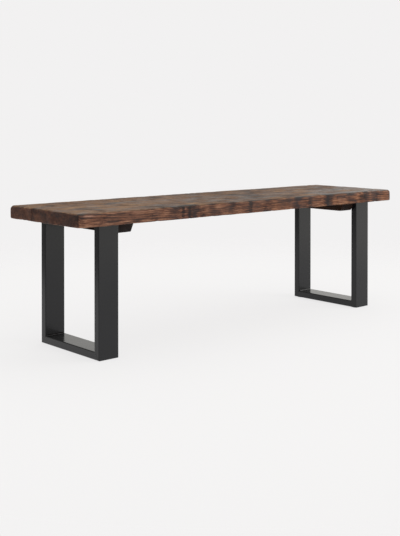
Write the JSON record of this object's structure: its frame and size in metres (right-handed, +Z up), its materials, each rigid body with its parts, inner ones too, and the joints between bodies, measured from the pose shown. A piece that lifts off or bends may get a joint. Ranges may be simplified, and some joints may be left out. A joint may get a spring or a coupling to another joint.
{
  "type": "bench",
  "caption": "Backless entryway bench: a thick worn-wood plank seat on two black U-shaped rectangular steel tube legs, with cross battens under the seat.",
  "frame": {"origin": "on the floor, under the middle of the seat", "axes": "+X along the seat to the right as seen from its front, +Y from the front edge to the back, +Z up"},
  "size_m": [1.5, 0.4, 0.46],
  "materials": {
    "seat_wood": "dark stained, worn and waxed, satin",
    "batten_wood": "dark stained, matte",
    "dowel_wood": "plain beech, glued",
    "black_coated_steel": "black powder coat, satin",
    "screw_steel": "zinc plated",
    "pad_rubber": "matte black"
  },
  "bodies": {
    "root": {"seat_board_front": "seat_wood", "seat_board_middle": "seat_wood", "seat_board_rear": "seat_wood", "front_joint_dowels": "dowel_wood", "rear_joint_dowels": "dowel_wood", "left_batten": "batten_wood", "left_batten_screws": "screw_steel", "left_floor_rail": "black_coated_steel", "left_mounting_strap": "black_coated_steel", "left_leg_welds": "black_coated_steel", "left_strap_washers": "screw_steel", "left_strap_screws": "screw_steel", "left_front_post": "black_coated_steel", "left_front_pad": "pad_rubber", "left_rear_post": "black_coated_steel", "left_rear_pad": "pad_rubber", "right_batten": "batten_wood", "right_batten_screws": "screw_steel", "right_floor_rail": "black_coated_steel", "right_mounting_strap": "black_coated_steel", "right_leg_welds": "black_coated_steel", "right_strap_washers": "screw_steel", "right_strap_screws": "screw_steel", "right_front_post": "black_coated_steel", "right_front_pad": "pad_rubber", "right_rear_post": "black_coated_steel", "right_rear_pad": "pad_rubber"}
  },
  "joints": []
}
